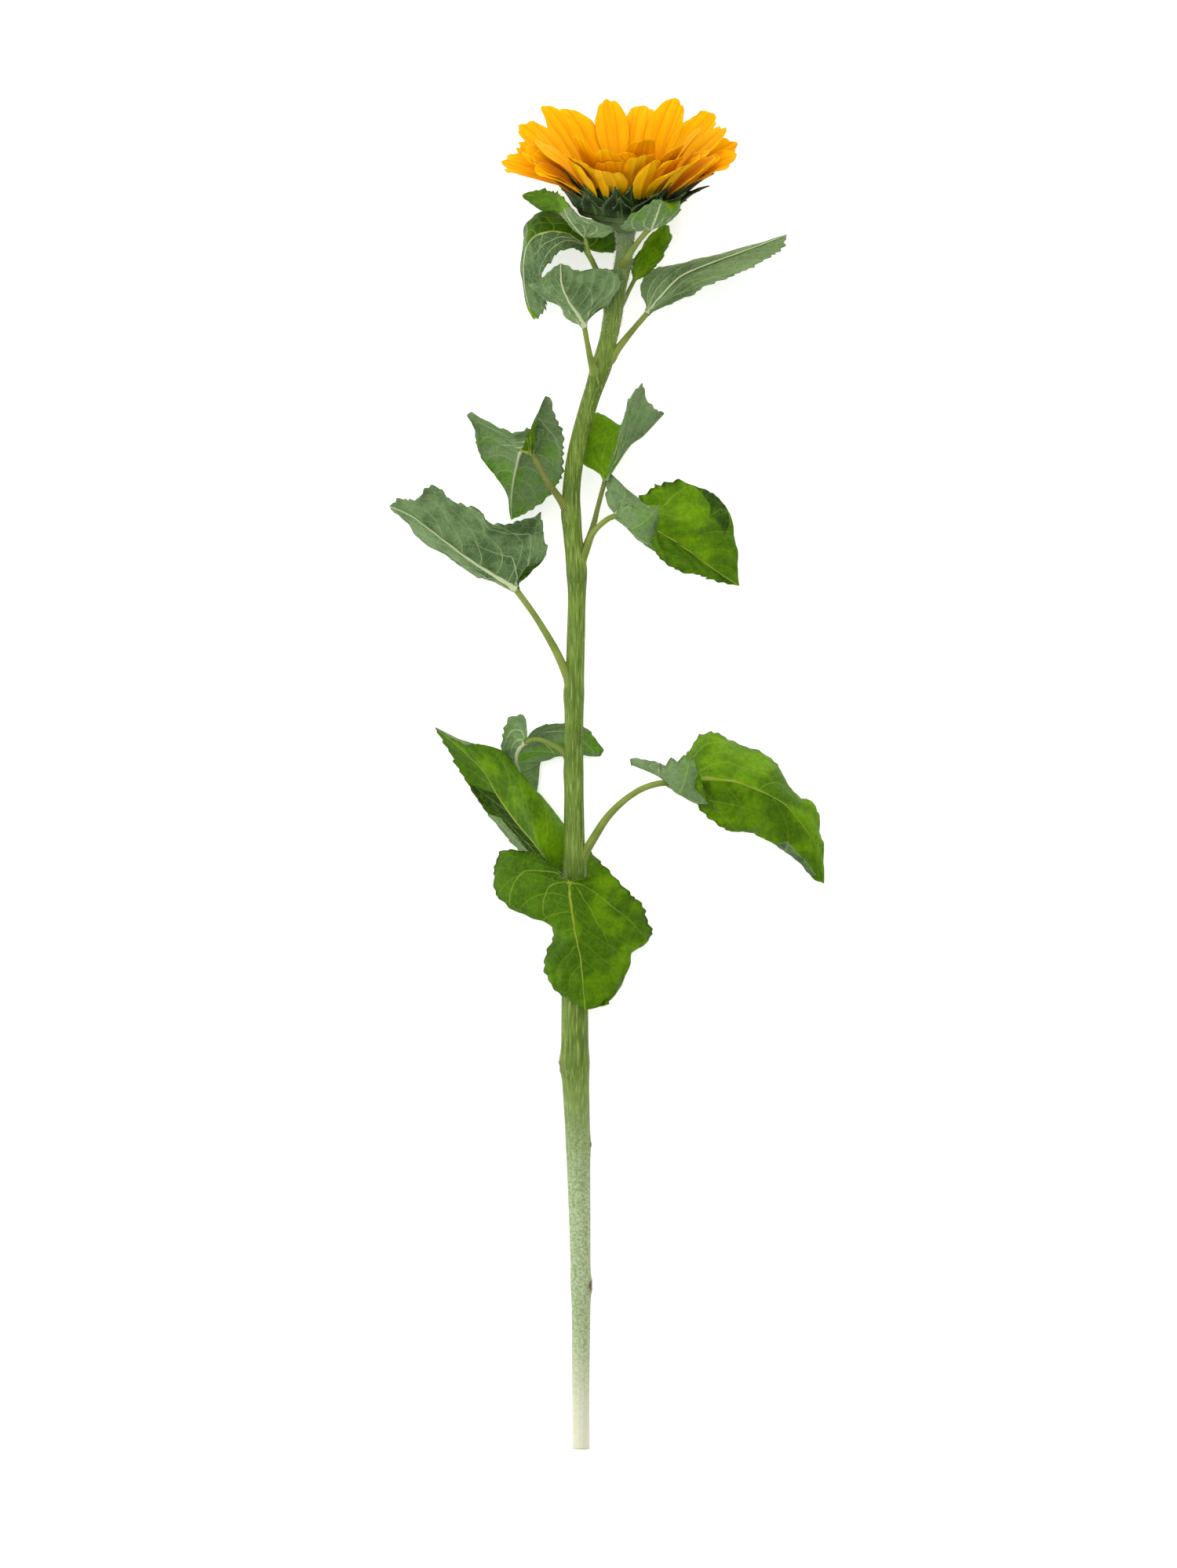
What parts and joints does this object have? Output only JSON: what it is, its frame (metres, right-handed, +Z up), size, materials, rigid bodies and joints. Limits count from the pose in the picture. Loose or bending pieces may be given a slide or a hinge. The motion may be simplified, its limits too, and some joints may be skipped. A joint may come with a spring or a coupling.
{
  "type": "cut sunflower",
  "caption": "Cut sunflower with one golden head seen from its side, green bracts and fourteen leaves on a long stem, lying down.",
  "frame": {"origin": "centre of the lying flower's outline, on the surface it lies on", "axes": "+Y up the stem towards the flower head, +X to the right of it, +Z up from the surface"},
  "size_m": [0.25, 0.7767, 0.1243],
  "materials": {
    "stem": "satin",
    "leaf": "satin",
    "bract": "matte",
    "petal": "satin",
    "disc": "matte"
  },
  "bodies": {
    "root": {"stem": "stem", "receptacle": "bract", "bracts_inner": "bract", "bracts_outer": "bract", "disc": "disc", "leaf_collar_front": "leaf", "leaf_collar_left": "leaf", "leaf_top_left": "leaf", "leaf_top_front": "leaf", "leaf_top_right_small": "leaf", "leaf_top_right": "leaf", "leaf_middle_left": "leaf", "leaf_middle_right_high": "leaf", "leaf_middle_right": "leaf", "leaf_large_left": "leaf", "leaf_low_left_small": "leaf", "leaf_low_left": "leaf", "leaf_large_right": "leaf", "leaf_low_front": "leaf", "petal_outer_01": "petal", "petal_outer_02": "petal", "petal_outer_03": "petal", "petal_outer_04": "petal", "petal_outer_05": "petal", "petal_outer_06": "petal", "petal_outer_07": "petal", "petal_outer_08": "petal", "petal_outer_09": "petal", "petal_outer_10": "petal", "petal_outer_11": "petal", "petal_outer_12": "petal", "petal_outer_13": "petal", "petal_outer_14": "petal", "petal_outer_15": "petal", "petal_outer_16": "petal", "petal_outer_17": "petal", "petal_outer_18": "petal", "petal_inner_01": "petal", "petal_inner_02": "petal", "petal_inner_03": "petal", "petal_inner_04": "petal", "petal_inner_05": "petal", "petal_inner_06": "petal", "petal_inner_07": "petal", "petal_inner_08": "petal", "petal_inner_09": "petal", "petal_inner_10": "petal", "petal_inner_11": "petal", "petal_inner_12": "petal", "petal_inner_13": "petal", "petal_inner_14": "petal", "petal_inner_15": "petal", "petal_inner_16": "petal"}
  },
  "joints": []
}
